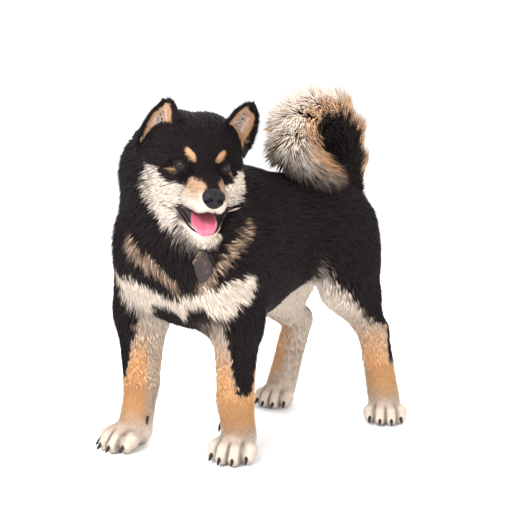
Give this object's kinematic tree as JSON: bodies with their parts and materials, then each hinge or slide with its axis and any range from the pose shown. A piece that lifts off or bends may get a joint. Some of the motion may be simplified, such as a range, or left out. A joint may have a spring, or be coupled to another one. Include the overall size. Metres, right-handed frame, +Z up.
{
  "type": "standing dog figure",
  "caption": "Life-size still figure of a standing black and tan shiba inu with pricked ears, a curled bushy tail, its mouth open and a small tag at the throat.",
  "frame": {"origin": "on the floor, under the middle of the figure's box", "axes": "+Z up, the trunk lies along Y with the chest towards -Y, +X is the dog's left"},
  "size_m": [0.2936, 0.4694, 0.519],
  "materials": {
    "black_fur": "dense black fur with a soft grey sheen",
    "tan_fur": "short tan fur, matte",
    "cream_fur": "soft cream fur, matte",
    "ear_fur": "thin short fur over skin",
    "nose": "moist pebbled skin",
    "tongue": "wet, soft and fine-grained",
    "eyes": "wet gloss",
    "tag_leather": "worn dark brown leather with a paler edge",
    "claws": "smooth horn with a dull shine"
  },
  "bodies": {
    "root": {"neck": "black_fur", "front_left_upper": "black_fur", "front_right_upper": "black_fur", "hind_left_upper": "black_fur", "hind_right_upper": "black_fur", "torso": "black_fur", "front_left_lower": "tan_fur", "front_left_paw": "tan_fur", "front_right_lower": "tan_fur", "front_right_paw": "tan_fur", "hind_left_lower": "tan_fur", "hind_left_paw": "tan_fur", "hind_right_lower": "tan_fur", "hind_right_paw": "tan_fur", "eye_left": "eyes", "eye_right": "eyes", "head": "black_fur", "lower_jaw": "cream_fur", "tongue": "tongue", "nose": "nose", "ear_left": "ear_fur", "ear_right": "ear_fur", "front_left_claw_1": "claws", "front_left_claw_2": "claws", "front_left_claw_3": "claws", "front_left_claw_4": "claws", "front_left_dewclaw": "claws", "front_right_claw_1": "claws", "front_right_claw_2": "claws", "front_right_claw_3": "claws", "front_right_claw_4": "claws", "front_right_dewclaw": "claws", "hind_left_claw_1": "claws", "hind_left_claw_2": "claws", "hind_left_claw_3": "claws", "hind_left_claw_4": "claws", "hind_right_claw_1": "claws", "hind_right_claw_2": "claws", "hind_right_claw_3": "claws", "hind_right_claw_4": "claws", "tail_root": "cream_fur", "tail_curl": "cream_fur", "tail_tip": "cream_fur", "tag": "tag_leather"}
  },
  "joints": []
}
